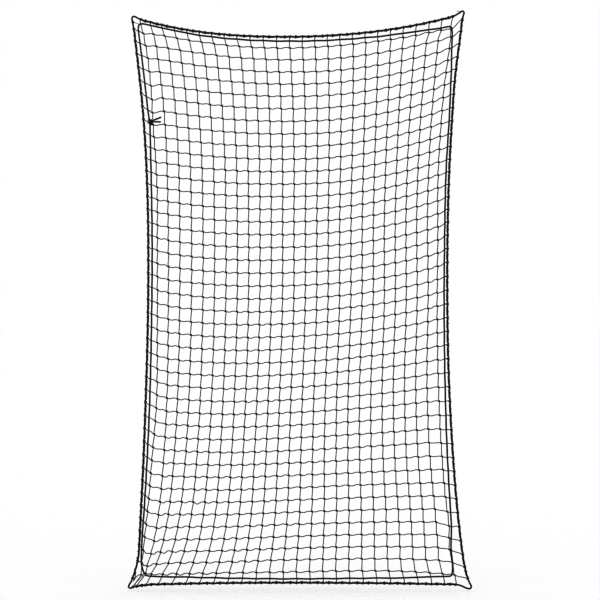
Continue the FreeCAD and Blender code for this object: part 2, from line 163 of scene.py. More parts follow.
# The lacing cord crosses the outermost bars at these shares of the way from the
# rope to the first knot: (row or column, share).
LACING_LEFT = [
    (1, 0.50), (3, 0.46), (6, 0.50), (7, 0.56), (9, 0.62), (11, 0.50), (13, 0.44), (18, 0.44), (24, 0.40),
    (30, 0.39), (34, 0.45), (37, 0.48), (39, 0.52), (41, 0.63), (42, 0.82),
]
LACING_TOP = [(2, 0.30), (6, 0.34), (13, 0.39), (20, 0.54), (24, 0.74), (25, 0.85)]
LACING_RIGHT = [
    (1, 0.90), (3, 0.78), (5, 0.47), (7, 0.33), (13, 0.30), (20, 0.32), (28, 0.37), (33, 0.49),
    (37, 0.62), (40, 0.84), (42, 0.98),
]
LACING_BOTTOM = [(4, 0.78), (5, 0.72), (9, 0.48), (13, 0.36), (18, 0.38), (22, 0.48), (25, 0.76)]
# The loose ends of the lashing at the corners and where it was joined: (x, y, z).
LASHING_ENDS = {
    "top": [
        [(0.583, 0.004, 1.046), (0.582, -0.004, 1.049), (0.585, -0.005, 1.052), (0.579, -0.002, 1.053),
         (0.572, 0.001, 1.055)],
    ],
    "right": [
        [(0.592, 0.004, 1.028), (0.597, 0.003, 1.029), (0.597, -0.004, 1.028), (0.590, -0.005, 1.028),
         (0.587, -0.001, 1.026), (0.589, 0.004, 1.024), (0.596, 0.003, 1.024), (0.596, -0.004, 1.023),
         (0.589, -0.006, 1.023), (0.584, -0.005, 1.020)],
        [(0.604, 0.004, -0.986), (0.606, -0.003, -0.988), (0.600, -0.005, -0.990), (0.598, 0.000, -0.991),
         (0.604, 0.005, -0.992), (0.608, 0.000, -0.989)],
    ],
    "bottom": [
        [(-0.604, -0.004, -1.040), (-0.600, -0.005, -1.032), (-0.590, -0.006, -1.022),
         (-0.578, -0.007, -1.010), (-0.572, -0.009, -1.004)],
    ],
    "left": [
        [(-0.616, 0.003, 1.018), (-0.616, -0.004, 1.018), (-0.608, -0.005, 1.017), (-0.606, 0.001, 1.016),
         (-0.611, 0.005, 1.015), (-0.617, 0.001, 1.014), (-0.612, -0.005, 1.013), (-0.605, -0.003, 1.012),
         (-0.607, 0.004, 1.011), (-0.614, 0.003, 1.010), (-0.612, -0.005, 1.014), (-0.603, -0.006, 1.012),
         (-0.596, -0.007, 1.009), (-0.590, -0.010, 1.006), (-0.584, -0.008, 1.004)],
        [(-0.597, 0.004, -0.938), (-0.594, -0.002, -0.939), (-0.590, -0.005, -0.940),
         (-0.596, -0.004, -0.941), (-0.600, -0.002, -0.943)],
        [(-0.602, -0.003, -0.990), (-0.599, -0.005, -0.998), (-0.603, -0.004, -1.008),
         (-0.605, -0.005, -1.016), (-0.609, -0.004, -1.024)],
        [(-0.599, 0.001, -0.992), (-0.603, -0.005, -1.000), (-0.600, -0.003, -1.010),
         (-0.604, -0.002, -1.020), (-0.611, -0.004, -1.028)],
    ],
}
# In each mesh of a side the lashing makes a turn near both ends, at a share of the way
# in, and a tight band near the middle, which strays from it by up to a tenth of the way.
LASHING_TURN_SHARE = 0.13
LASHING_TURN_START = 0.4
LASHING_TURN_PITCH = 0.008
BAND_PITCH = 0.0018
BAND_STRAY = 0.10
SIDE_BAND_TURNS = 2
END_BAND_TURNS = 3
END_BAND_SWELL = 1.2
# A gap shorter than this, beside a corner, has no lashing.
SHORTEST_LASHED = 0.02
# The bands of the top and bottom sides are tied off: (along the rope, back, inwards)
# from a place on the rope's inner face.
BAND_KNOT_STANDOFF = 0.0008
BAND_KNOT = [
    (0.0016, -0.0012, 0.0002), (0.0012, 0.0012, 0.0010), (-0.0014, 0.0010, 0.0016),
    (-0.0012, -0.0014, 0.0008), (0.0008, -0.0004, -0.0006),
]
# Lashing and hitches sink into the soft rope: the share of their radius left outside.
LASHING_BEDDING = 0.8
HITCH_BEDDING = 0.85
# A hitch: the angle it starts at from the net's side, its turns and their pitch.
HITCH_START = 0.9
HITCH_TURNS = 1.9
HITCH_PITCH = 0.0018

# The lacing cord stays in front for this many meshes beside each corner, and for this
# many rows above and below its knot.
FRONT_MESHES = 5
FRONT_ROWS_AT_KNOT = 2
# How far in front of or behind the rope's middle a bar begins, and how far off the net
# it reaches a knot. The smooth cord passes half way to its outermost points.
HITCH_DEPTH = 0.0034
KNOT_DEPTHS = {"left": 0.0006, "right": 0.0006, "top": 0.0001, "bottom": 0.0001}
WEAVE_SHARE = 0.5
FRONT_EXTRA = 0.0018
# The row that the cord's knot takes the crossing's place of, the knot's (x, z), and how
# far it stands in front of the panel's plane.
LACING_KNOT_ROW = 8
LACING_KNOT = (-0.5475, 0.648)
KNOT_STANDOFF = 0.0142
# How the cord comes down into its knot and leaves it: (to the right, up) from its middle.
KNOT_APPROACH = [(-0.0040, 0.016), (0, 0), (0, -0.016)]
# The knot: a round turn and a half hitch of the cord's two ends about itself. These
# and its two cut ends are (to the right, back, up) from its middle, in cord radii.
KNOT_COIL = [
    (-0.6, 1.6, -2.4), (1.6, 1.4, -2.6), (2.2, -0.8, -2.2), (0.2, -2.4, -1.4), (-1.9, -1.2, -0.8),
    (-1.7, 1.2, -0.4), (0.6, 2.0, -0.1), (2.4, 0.4, 0.2), (1.4, -2.0, 0.8), (-0.9, -2.2, 1.6),
    (-2.0, 0.2, 2.2), (-0.4, 2.0, 2.6), (1.7, 1.3, 2.4), (2.0, -0.6, 1.4), (0.2, -2.9, -0.4),
    (1.6, -2.0, -1.9), (2.9, 0.2, -1.5),
]
UPPER_END = [(1.6, -2.0, 1.2), (4.4, -1.4, 2.3), (7.9, -0.8, 3.8), (11.6, -0.3, 5.2), (14.9, 0, 6.6)]
LOWER_END = [(1.4, -1.6, -0.6), (4.4, -1.2, 0.2), (7.9, -0.6, 0.6), (11.4, -0.2, 0.3), (14.3, 0, 0.3)]
# How much wider, deeper and higher the coil is drawn than its points say.
KNOT_LOOSENESS = (1.28, 1.05, 1.18)
# How far from its end a strand of the knot begins to round off.
COIL_TAPER = 0.002
END_TAPER = 0.0012

# A knot of the net is a sheet bend. One twine hooks through it from the left up to
# the top, and the other comes from below and wraps round it to the right.
# Each point is (to the right, back, up), in twine radii.
HOOK = [
    (-3.8, -0.5, 0.9), (-1.6, -0.3, 0.5), (0.2, -0.3, -0.9), (1.2, -0.3, -2.1), (2.3, 0.0, -2.2),
    (2.0, 0.3, -0.6), (0.6, 0.3, 1.2), (-0.9, 0.2, 3.2), (-1.4, 0.1, 5.2),
]
WRAP = [
    (1.4, 0.1, -5.2), (1.2, 1.2, -3.4), (0.9, 1.2, -1.6), (0.4, -0.4, -0.5), (0.6, -1.8, 0.6),
    (1.7, -1.5, 1.7), (2.2, 0.0, 2.0), (1.3, 1.6, 1.8), (-0.5, 1.9, 1.4), (-2.1, 1.4, 0.6),
    (-2.6, -0.1, -0.2), (-1.9, -1.5, -0.9), (-0.2, -1.8, -1.1), (1.5, -1.3, -0.9), (3.8, -0.6, -0.8),
]
KNOT_SCALE = 0.95
# How much bigger and smaller than that the knots come out.
KNOT_SPREAD = 0.06
# How far a bar's slack lets it wander, at two points this share of the way from its
# ends, and how uneven that is from bar to bar.
SLACK = 0.0016
LEFT_SLACK = 0.0022
WANDER_SHARE = 0.28
WANDER_SPREAD = 0.3
DEPTH_SPREAD = 0.0004
# Bars that hang loose: {(column, row) of the knot at their left: how far they sag}.
LOOSE_BARS = {(5, 37): 0.006, (1, 41): 0.004, (1, 42): 0.004}

# How finely twisted twine, rope and cord are modelled: the twist's pitch, the length
# of one step along it, and the turn that gets a step of its own.
TWINE_PITCH = 0.020
TWINE_STEP = 0.0019
TWINE_BEND = math.radians(38)
LASHING_PITCH = 0.012
LASHING_STEP = 0.0015
LASHING_BEND = math.radians(40)
ROPE_PITCH = 0.026
ROPE_STEP = 0.0020
ROPE_BEND = math.radians(12)
LACING_PITCH = 0.020
LACING_BEND = math.radians(14)
# How many corners the section of each has.
THIN_SIDES = 6
THICK_SIDES = 16

# The floor lies just under the panel and reaches far past the view.
FLOOR_HALF_WIDTH = 60.0
FLOOR_GAP = 0.004
# The view is square on to the panel, and this wide where the panel hangs.
VIEW_DISTANCE = 7.5
VIEW_WIDTH = 2.19
VIEW_MIDDLE = -0.001
SENSOR_WIDTH = 36

RANDOM = np.random.default_rng(44)
LIT_PIECES = bpy.data.collections.new("lit_pieces")


# ---- the panel's shape: the CAD model's, with a little unevenness ----
def smooth(keys, number):
    """The (x, z) or share at a row or column number, on a smooth curve through the keys."""
    last = len(keys) - 1
    i = max(0, min(last - 1, sum(1 for key in keys[1:] if key[0] <= number)))

    def slope(m, axis):
        before = max(m, 1)
        after = min(m, last - 1)
        back = (keys[before][axis] - keys[before - 1][axis]) / (keys[before][0] - keys[before - 1][0])
        ahead = (keys[after + 1][axis] - keys[after][axis]) / (keys[after + 1][0] - keys[after][0])
        back_weight = keys[after + 1][0] - keys[after][0]
        ahead_weight = keys[before][0] - keys[before - 1][0]
        return (back * back_weight + ahead * ahead_weight) / (back_weight + ahead_weight)

    span = keys[i + 1][0] - keys[i][0]
    t = (number - keys[i][0]) / span
    values = []
    for axis in range(1, len(keys[0])):
        value = (2 * t**3 - 3 * t**2 + 1) * keys[i][axis]
        value += (t**3 - 2 * t**2 + t) * slope(i, axis) * span
        value += (3 * t**2 - 2 * t**3) * keys[i + 1][axis]
        value += (t**3 - t**2) * slope(i + 1, axis) * span
        values.append(value)
    return values


def unevenness(s, t):
    """How far a knot hangs off the CAD model's place: (right, down) at a share of the
    way across and down the net."""
    inside = 1 - abs(2 * s - 1) ** 8
    edge = (abs(2 * s - 1) ** 3 - abs(2 * s - 1) ** 8) * math.sin(math.pi * t)
    right = EDGE_SHIFT_SHARE * edge * (DRIFT + LEFT_DRIFT * (1 - 2 * s))
    right += LOW_LEFT_SHIFT * inside * (1 - s) ** 2 * math.sin(math.pi * t**4)
    right -= LOW_MIDDLE_SHIFT * math.sin(math.pi * s) ** 2 * math.sin(math.pi * t**8)
    right += RIGHT_SHIFT * math.sin(math.pi * s**3) * math.sin(math.pi * t)
    down = EDGE_SAG_SHARE * edge * (SAG + LEFT_SAG * (1 - 2 * s))
    down += LOW_SAG * inside * max(0, 1 - 2 * s**2) * math.sin(math.pi * t**4)
    down += EVEN_SAG * inside * math.sin(math.pi * t) * (s + (1 - s) * t)
    down -= UPPER_LIFT * math.sin(math.pi * s**0.6) ** 4 * math.sin(math.pi * t**0.45) ** 4
    return right, down


def inner_knot(column, row):
    """A knot inside the second and last-but-one rows and columns: (x, z)."""
    s = (column - 2) / (COLUMNS - 3)
    t = (row - 2) / (ROWS - 3)
    left = smooth(SECOND_COLUMN, row)
    right = smooth(LATE_COLUMN, row)
    top = smooth(SECOND_ROW, column)
    bottom = smooth(LATE_ROW, column)
    spot = []
    for axis in (0, 1):
        corners = (1 - s) * (1 - t) * SECOND_ROW[0][axis + 1] + s * (1 - t) * SECOND_ROW[-1][axis + 1]
        corners += (1 - s) * t * LATE_ROW[0][axis + 1] + s * t * LATE_ROW[-1][axis + 1]
        sides = (1 - s) * left[axis] + s * right[axis]
        ends = (1 - t) * top[axis] + t * bottom[axis]
        spot.append(sides + ends - corners)
    across = 1 - abs(2 * s - 1) ** 3
    down = math.sin(math.pi * t)
    spot[0] += across * (DRIFT + LEFT_DRIFT * (1 - 2 * s)) * down
    spot[0] += across * UPPER_DRIFT * math.sin(2 * math.pi * t)
    spot[1] -= across * (SAG + LEFT_SAG * (1 - 2 * s)) * down
    shift, drop = unevenness(s, t)
    return [spot[0] + shift, spot[1] - drop]


def between(a, b, share):
    """The (x, z) that share of the way from a to b."""
    return [a[0] + (b[0] - a[0]) * share, a[1] + (b[1] - a[1]) * share]


def place_knots():
    """Every knot and hitch of the net: {(column, row): (x, z)}."""
    spots = {}
    for column in range(1, COLUMNS + 1):
        spots[column, 0] = smooth(TOP_ROPE, column)
        spots[column, 1] = smooth(FIRST_ROW, column)
        spots[column, ROWS] = smooth(LAST_ROW, column)
        spots[column, ROWS + 1] = smooth(BOTTOM_ROPE, column)
    for row in range(1, ROWS + 1):
        spots[0, row] = smooth(LEFT_ROPE, row)
        spots[1, row] = smooth(FIRST_COLUMN, row)
        spots[COLUMNS, row] = smooth(LAST_COLUMN, row)
        spots[COLUMNS + 1, row] = smooth(RIGHT_ROPE, row)
    for column in range(2, COLUMNS):
        for row in range(2, ROWS):
            spots[column, row] = inner_knot(column, row)
    return spots


def depth(x, z):
    """How far back the net's middle surface lies at a place."""
    return BELLY * max(0, 1 - (x / BELLY_HALF_WIDTH) ** 2) * max(0, 1 - (z / BELLY_HALF_HEIGHT) ** 2)


def at(spot, back=0.0):
    """An (x, z) place as a point that far behind the panel's plane."""
    return Vector((spot[0], back, spot[1]))


SPOTS = place_knots()


# ---- lines and the strands that follow them ----
def nurbs_line(points, closed=False, resolution=6):
    """The points along a smooth NURBS spline that has these as its control points."""
    curve = bpy.data.curves.new("line", "CURVE")
    curve.dimensions = "3D"
    curve.resolution_u = resolution
    spline = curve.splines.new("NURBS")
    spline.points.add(len(points) - 1)
    for control, point in zip(spline.points, points):
        control.co = (*point, 1)
    spline.order_u = 3
    spline.use_endpoint_u = not closed
    spline.use_cyclic_u = closed
    line = bpy.data.objects.new("line", curve)
    mesh = bpy.data.meshes.new_from_object(line)
    found = np.array([vertex.co for vertex in mesh.vertices])
    bpy.data.objects.remove(line)
    bpy.data.curves.remove(curve)
    bpy.data.meshes.remove(mesh)
    return np.vstack([found, found[:1]]) if closed else found


def spaced(line, step, bend):
    """Places along a line: (points, distances), closer together where it turns."""
    runs = np.diff(line, axis=0)
    lengths = np.linalg.norm(runs, axis=1)
    keep = lengths > 1e-7
    line = np.vstack([line[:1], line[1:][keep]])
    runs = runs[keep] / lengths[keep][:, None]
    lengths = lengths[keep]
    turns = np.arccos(np.clip((runs[:-1] * runs[1:]).sum(axis=1), -1, 1))
    effort = lengths / step
    effort[:-1] += turns / bend / 2
    effort[1:] += turns / bend / 2
    effort = np.concatenate([[0], np.cumsum(effort)])
    distance = np.concatenate([[0], np.cumsum(lengths)])
    wanted = np.linspace(0, effort[-1], max(3, round(effort[-1]) + 1))
    places = np.interp(wanted, effort, distance)
    points = np.stack([np.interp(places, distance, line[:, k]) for k in range(3)], axis=1)
    return points, places


def cross_axes(points, closed):
    """Two axes across a line at each of its points, with no twist of their own."""
    ahead = np.roll(points, -1, axis=0)
    behind = np.roll(points, 1, axis=0)
    if closed:
        ahead[-1], behind[0] = points[1], points[-2]
    else:
        ahead[-1], behind[0] = points[-1], points[0]
    tangents = ahead - behind
    tangents /= np.linalg.norm(tangents, axis=1)[:, None]
    normal = Vector((0.05, 1, 0.03))
    normals = np.empty_like(points)
    for i, tangent in enumerate(tangents):
        tangent = Vector(tangent)
        normal = (normal - tangent * normal.dot(tangent)).normalized()
        normals[i] = normal
    return normals, np.cross(tangents, normals)


def strand(points, places, radius_at, sides, closed=False, taper=0.0):
    """The vertices and faces of a strand: radius_at(angles, places) is its section."""
    normals, binormals = cross_axes(points, closed)
    angles = np.arange(sides) * 2 * math.pi / sides
    radii, turned = radius_at(angles[None, :], places[:, None])
    if taper and not closed:
        end = np.minimum(places, places[-1] - places) / taper
        radii = radii * np.sqrt(np.clip(end * (2 - end), 0.15, 1))[:, None] ** (end < 1)[:, None]
    ring = np.cos(turned)[..., None] * normals[:, None] + np.sin(turned)[..., None] * binormals[:, None]
    vertices = (points[:, None] + radii[..., None] * ring).reshape(-1, 3)
    count = len(points)
    i = np.arange(count - 1)[:, None]
    j = np.arange(sides)[None, :]
    k = (j + 1) % sides
    quads = np.stack([i * sides + j, i * sides + k, (i + 1) * sides + k, (i + 1) * sides + j], axis=-1)
    faces = quads.reshape(-1, 4).tolist()
    round_it = np.broadcast_to(np.stack([j, j + 1, j + 1, j], axis=-1) / sides, quads.shape)
    start, end = places[:-1, None] + 0.0 * j, places[1:, None] + 0.0 * j
    along_it = np.stack([start, start, end, end], axis=-1)
    uvs = np.stack([round_it, along_it], axis=-1).reshape(-1, 2)
    if not closed:
        faces.append(list(range(sides))[::-1])
        faces.append([(count - 1) * sides + n for n in range(sides)])
        ends = [(n / sides, places[0]) for n in range(sides)][::-1]
        ends += [(n / sides, places[-1]) for n in range(sides)]
        uvs = np.vstack([uvs, ends])
    return vertices, faces, uvs


def piece(name, strands, material, slot, *nodes):
    """One mesh object made of several strands, standing for its CAD nodes."""
    vertices, faces, start = [], [], 0
    for points, corners, _ in strands:
        vertices.append(points)
        faces += [[corner + start for corner in face] for face in corners]
        start += len(points)
    mesh = bpy.data.meshes.new(name)
    mesh.from_pydata(np.vstack(vertices).tolist(), [], faces)
    lay = mesh.uv_layers.new(name="lay")
    lay.data.foreach_set("uv", np.vstack([uvs for _, _, uvs in strands]).ravel())
    mesh.polygons.foreach_set("use_smooth", [True] * len(mesh.polygons))
    mesh.materials.append(material)
    mesh.update()
    made = bpy.data.objects.new(name, mesh)
    bpy.context.scene.collection.objects.link(made)
    LIT_PIECES.objects.link(made)
    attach(made, "root")
    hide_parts(*nodes)
    return made


def twisted(radius, pitch, plies=3, depth_share=0.16):
    """The section of plied twine: lobes that turn once in each pitch."""
    def section(angles, places):
        lobes = np.cos(plies * angles)
        radii = radius * (1 - depth_share / 2 + depth_share / 2 * lobes) + 0 * places
        return radii, angles + 2 * math.pi * places / pitch
    return section


def braided(radius, pitch, strands=4, relief=0.10):
    """The section of a braided cord: two sets of strands that cross over and under."""
    def section(angles, places):
        along = 2 * math.pi * places / pitch
        right = np.cos(strands * (angles + along))
        left = np.cos(strands * (angles - along))
        raised = np.maximum(right, left)
        return radius * (1 - relief + relief * raised), angles + 0 * places
    return section


# ---- materials ----
def fibre_lay(nodes, links, waves):
    """How high the yarns of a cord stand at a place: the higher of the slanted waves.
    Each wave is (waves round the cord, metres of cord to one wave)."""
    place = nodes.new("ShaderNodeUVMap")
    place.uv_map = "lay"
    parts = nodes.new("ShaderNodeSeparateXYZ")
    links.new(place.outputs["UV"], parts.inputs["Vector"])
    height = None
    for around, length in waves:
        turn = nodes.new("ShaderNodeMath")
        turn.operation = "MULTIPLY"
        turn.inputs[1].default_value = 2 * math.pi * around
        links.new(parts.outputs["X"], turn.inputs[0])
        phase = nodes.new("ShaderNodeMath")
        phase.operation = "MULTIPLY_ADD"
        phase.inputs[1].default_value = 2 * math.pi / length
        links.new(parts.outputs["Y"], phase.inputs[0])
        links.new(turn.outputs["Value"], phase.inputs[2])
        wave = nodes.new("ShaderNodeMath")
        wave.operation = "SINE"
        links.new(phase.outputs["Value"], wave.inputs[0])
        if height is None:
            height = wave
            continue
        both = nodes.new("ShaderNodeMath")
        both.operation = "MAXIMUM"
        links.new(height.outputs["Value"], both.inputs[0])
        links.new(wave.outputs["Value"], both.inputs[1])
        height = both
    return height


def cord_material(name, dark, light, roughness, sheen, fibre_scale, fibre_depth, waves):
    """Black synthetic cord: laid yarns, fibres along them, high spots lighter as wear, and painted shade
    left dark in the grooves.
    """
    material = bpy.data.materials.new(name)
    material.use_nodes = True
    nodes = material.node_tree.nodes
    links = material.node_tree.links
    surface = nodes["Principled BSDF"]
    yarns = fibre_lay(nodes, links, waves)
    place = nodes.new("ShaderNodeTexCoord")
    fibres = nodes.new("ShaderNodeTexNoise")
    fibres.inputs["Scale"].default_value = fibre_scale
    fibres.inputs["Detail"].default_value = 4
    fibres.inputs["Distortion"].default_value = 1.5
    links.new(place.outputs["Object"], fibres.inputs["Vector"])
    patches = nodes.new("ShaderNodeTexNoise")
    patches.inputs["Scale"].default_value = 14
    patches.inputs["Detail"].default_value = 3
    links.new(place.outputs["Object"], patches.inputs["Vector"])
    ridges = nodes.new("ShaderNodeNewGeometry")
    # Pointiness lightens the high spots as wear and leaves the grooves at the dark tone as painted shade.
    wear_and_groove_shade = nodes.new("ShaderNodeMapRange")
    wear_and_groove_shade.inputs["From Min"].default_value = 0.46
    wear_and_groove_shade.inputs["From Max"].default_value = 0.60
    links.new(ridges.outputs["Pointiness"], wear_and_groove_shade.inputs["Value"])
    blend = nodes.new("ShaderNodeMath")
    blend.operation = "MULTIPLY"
    links.new(wear_and_groove_shade.outputs["Result"], blend.inputs[0])
    links.new(fibres.outputs["Fac"], blend.inputs[1])
    tone = nodes.new("ShaderNodeMix")
    tone.data_type = "RGBA"
    tone.inputs["A"].default_value = (*dark, 1)
    tone.inputs["B"].default_value = (*light, 1)
    links.new(blend.outputs["Value"], tone.inputs["Factor"])
    mottle = nodes.new("ShaderNodeMix")
    mottle.data_type = "RGBA"
    mottle.blend_type = "MULTIPLY"
    mottle.inputs["Factor"].default_value = 0.35
    links.new(tone.outputs["Result"], mottle.inputs["A"])
    links.new(patches.outputs["Color"], mottle.inputs["B"])
    links.new(mottle.outputs["Result"], surface.inputs["Base Color"])
    rough = nodes.new("ShaderNodeMapRange")
    rough.inputs["To Min"].default_value = roughness - 0.12
    rough.inputs["To Max"].default_value = roughness + 0.12
    links.new(fibres.outputs["Fac"], rough.inputs["Value"])
    links.new(rough.outputs["Result"], surface.inputs["Roughness"])
    relief = nodes.new("ShaderNodeMath")
    relief.operation = "MULTIPLY_ADD"
    relief.inputs[1].default_value = 0.6
    links.new(yarns.outputs["Value"], relief.inputs[0])
    links.new(fibres.outputs["Fac"], relief.inputs[2])
    bump = nodes.new("ShaderNodeBump")
    bump.inputs["Strength"].default_value = 0.6
    bump.inputs["Distance"].default_value = fibre_depth
    links.new(relief.outputs["Value"], bump.inputs["Height"])
    links.new(bump.outputs["Normal"], surface.inputs["Normal"])
    surface.inputs["Sheen Weight"].default_value = sheen
    surface.inputs["Sheen Roughness"].default_value = 0.4
    surface.inputs["Specular IOR Level"].default_value = 0.25
    return material


TWINE_WAVES = [(6, 0.0034)]
LASHING_WAVES = [(6, 0.0028)]
ROPE_WAVES = [(8, 0.0060), (-8, 0.0060)]
LACING_WAVES = [(8, 0.0046), (-8, 0.0046)]
NET_TWINE = cord_material(
    "net_twine", (0.008, 0.008, 0.009), (0.060, 0.060, 0.064), 0.55, 0.03, 900, 0.0002, TWINE_WAVES)
ROPE = cord_material(
    "border_rope", (0.006, 0.006, 0.006), (0.050, 0.050, 0.052), 0.68, 0.04, 700, 0.0003, ROPE_WAVES)
LASHING = cord_material(
    "lashing_twine", (0.006, 0.006, 0.006), (0.052, 0.052, 0.055), 0.60, 0.03, 950, 0.0002, LASHING_WAVES)
LACING = cord_material(
    "lacing_cord", (0.008, 0.008, 0.008), (0.058, 0.058, 0.061), 0.58, 0.04, 800, 0.0003, LACING_WAVES)


# ---- border rope ----
SIDES = ("top", "right", "bottom", "left")
TIPS = dict(zip(SIDES, (TOP_RIGHT_TIP, BOTTOM_RIGHT_TIP, BOTTOM_LEFT_TIP, TOP_LEFT_TIP)))
LACING_CORNERS = {
    "top": LACING_TOP_RIGHT, "right": LACING_BOTTOM_RIGHT, "bottom": LACING_BOTTOM_LEFT,
    "left": LACING_TOP_LEFT,
}


def side_points(side):
    """The (x, z) of each hitch of a side, clockwise round the panel."""
    if side == "top":
        return [SPOTS[column, 0] for column in range(1, COLUMNS + 1)]
    if side == "right":
        return [SPOTS[COLUMNS + 1, row] for row in range(1, ROWS + 1)]
    if side == "bottom":
        return [SPOTS[column, ROWS + 1] for column in range(COLUMNS, 0, -1)]
    return [SPOTS[0, row] for row in range(ROWS, 0, -1)]


def rope_points():
    """The rope's points, clockwise all round the panel."""
    points = []
    for side in SIDES:
        points += [at(spot) for spot in side_points(side) + TIPS[side]]
    return points


def rope_centres():
    """The rope's centre and heading beside each of its points: {(x, z): (centre, heading)}."""
    centres = {}
    points = rope_points()
    for before, here, after in zip([points[-1]] + points, points, points[1:] + points[:1]):
        centres[here.x, here.z] = ((before + here * 6 + after) / 8, (after - before).normalized())
    return centres


ROPE_CENTRES = rope_centres()


def make_border_rope():
    """One unbroken braided loop, in place of the CAD model's eight lengths."""
    line = nurbs_line(rope_points(), closed=True, resolution=16)
    places, distances = spaced(line, ROPE_STEP, ROPE_BEND)
    turns = round(distances[-1] / ROPE_PITCH)
    section = braided(ROPE_RADIUS * ROPE_FULLNESS, distances[-1] / turns)
    strands = [strand(places, distances, section, THICK_SIDES, closed=True)]
    lengths = [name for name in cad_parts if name.startswith("border_rope_")]
    piece("border_rope_braided", strands, ROPE, "border_rope", *lengths)


# ---- lashing ----
def rope_centre(spot):
    """The rope's centre and heading beside a hitch."""
    point = at(spot)
    return ROPE_CENTRES[point.x, point.z]


def round_rope(spot, along, start, turns, radius, pitch, per_turn=8):
    """Points that wind round the rope at a spot: start is an angle from the net's side."""
    inward = Vector((along.z, 0, -along.x))
    back = Vector((0, 1, 0))
    points = []
    count = round(turns * per_turn)
    for n in range(count + 1):
        angle = start + 2 * math.pi * n / per_turn
        ring = inward * (radius * math.cos(angle)) + back * (radius * math.sin(angle))
        points.append(spot + ring + along * (pitch * (n / per_turn - turns / 2)))
    return points


def lashing_points(side):
    """One twine wound along a side, with a tight band in each mesh, knotted on the top and bottom sides.
    """
    points = []
    centres = [rope_centre(spot)[0] for spot in side_points(side)]
    radius = ROPE_RADIUS + LASHING_RADIUS * LASHING_BEDDING
    tied_off = side in ("top", "bottom")
    band_turns = END_BAND_TURNS if tied_off else SIDE_BAND_TURNS
    band_radius = radius * END_BAND_SWELL if tied_off else radius
    for i, (a, b) in enumerate(zip(centres, centres[1:])):
        run = b - a
        if run.length < SHORTEST_LASHED:
            continue
        along = run.normalized()
        first = a + run * LASHING_TURN_SHARE
        middle = a + run * (0.5 + BAND_STRAY * math.sin(2.4 * i))
        last = a + run * (1 - LASHING_TURN_SHARE)
        points += round_rope(first, along, LASHING_TURN_START, 1, radius, LASHING_TURN_PITCH)
        points += round_rope(middle, along, 0, band_turns, band_radius, BAND_PITCH)
        if tied_off:
            inward = Vector((along.z, 0, -along.x))
            knot = middle + inward * (radius + BAND_KNOT_STANDOFF)
            points += [knot + along * x + Vector((0, y, 0)) + inward * z for x, y, z in BAND_KNOT]
        points += round_rope(last, along, LASHING_TURN_START, 1, radius, LASHING_TURN_PITCH)
    return points


def make_lashing(side):
    """A side's wound twine and its loose ends."""
    section = twisted(LASHING_RADIUS, LASHING_PITCH)
    strands = []
    for points in [lashing_points(side)] + LASHING_ENDS[side]:
        line = nurbs_line(points, resolution=4)
        places, distances = spaced(line, LASHING_STEP, LASHING_BEND)
        strands.append(strand(places, distances, section, THIN_SIDES))
    piece(f"{side}_lashing_twine", strands, LASHING, "lashing_twine", f"{side}_lashing")


# ---- the net's twines ----
def knot_points(column, row, shape):
    """A twine's points through a knot, which leans with the net round it."""
    here = SPOTS[column, row]
    left, right = SPOTS[column - 1, row], SPOTS[column + 1, row]
    above, below = SPOTS[column, row - 1], SPOTS[column, row + 1]
    along = (at(right) - at(left)).normalized()
    up = (at(above) - at(below)).normalized()
    lean = Vector((1, 0, 0)) * 0.5 + along * 0.5
    size = TWINE_RADIUS * KNOT_SCALE * (1 + KNOT_SPREAD * math.sin(12.9 * column + 7.3 * row))
    centre = at(here, depth(*here))
    back = Vector((0, 1, 0))
    return [centre + (lean * x + back * y + up * z) * size for x, y, z in shape]


def slack(x, z):
    """How far a row bar wanders at a place: most near the lower left."""
    left = max(0, min(1, 0.5 - x))
    low = max(0, min(1, 0.5 - z / 2))
    return SLACK + LEFT_SLACK * left * low


def bar_points(start, end, row_bar, sag=0.0):
    """Two points on a bar: a row bar dips as it leaves and arches as it comes."""
    run = end - start
    wander = slack(start.x, start.z) if row_bar else SLACK / 3
    drop = Vector((0, 0, -1)) if row_bar else Vector((1, 0, 0))
    dip = wander * (1 + RANDOM.normal() * WANDER_SPREAD) + sag
    arch = wander * (0.8 + RANDOM.normal() * WANDER_SPREAD) - sag * 0.5
    early = start + run * WANDER_SHARE + drop * dip
    late = start + run * (1 - WANDER_SHARE) - drop * arch
    early.y += RANDOM.normal() * DEPTH_SPREAD
    late.y += RANDOM.normal() * DEPTH_SPREAD
    return [early, late]


def hitch(side, number):
    """A twine's tight turns about the rope, from the net outwards."""
    points = side_points(side)
    clockwise = side in ("top", "right")
    centre, along = rope_centre(points[number - 1 if clockwise else len(points) - number])
    radius = ROPE_RADIUS + TWINE_RADIUS * HITCH_BEDDING
    turns = round_rope(centre, along, HITCH_START, HITCH_TURNS, radius, HITCH_PITCH)
    if side in ("left", "right"):
        return [Vector((point.x, -point.y, point.z)) for point in turns]
    return turns


def twine_points(number):
    """One twine of the net, climbing to the right from knot to knot."""
    if number <= ROWS:
        column, row, going_along = 1, number, True
        points = hitch("left", row)[::-1]
    else:
        column, row, going_along = number - ROWS, ROWS, False
        points = hitch("bottom", column)[::-1]
    while True:
        shape = HOOK if going_along else WRAP
        through = knot_points(column, row, shape)
        sag = LOOSE_BARS.get((column - 1, row), 0) if going_along else 0
        points += bar_points(points[-1], through[0], going_along, sag) + through
        if going_along:
            row -= 1
        else:
            column += 1
        going_along = not going_along
        if row == 0:
            end = hitch("top", column)
            return points + bar_points(points[-1], end[0], False) + end
        if column > COLUMNS:
            end = hitch("right", row)
            return points + bar_points(points[-1], end[0], True) + end


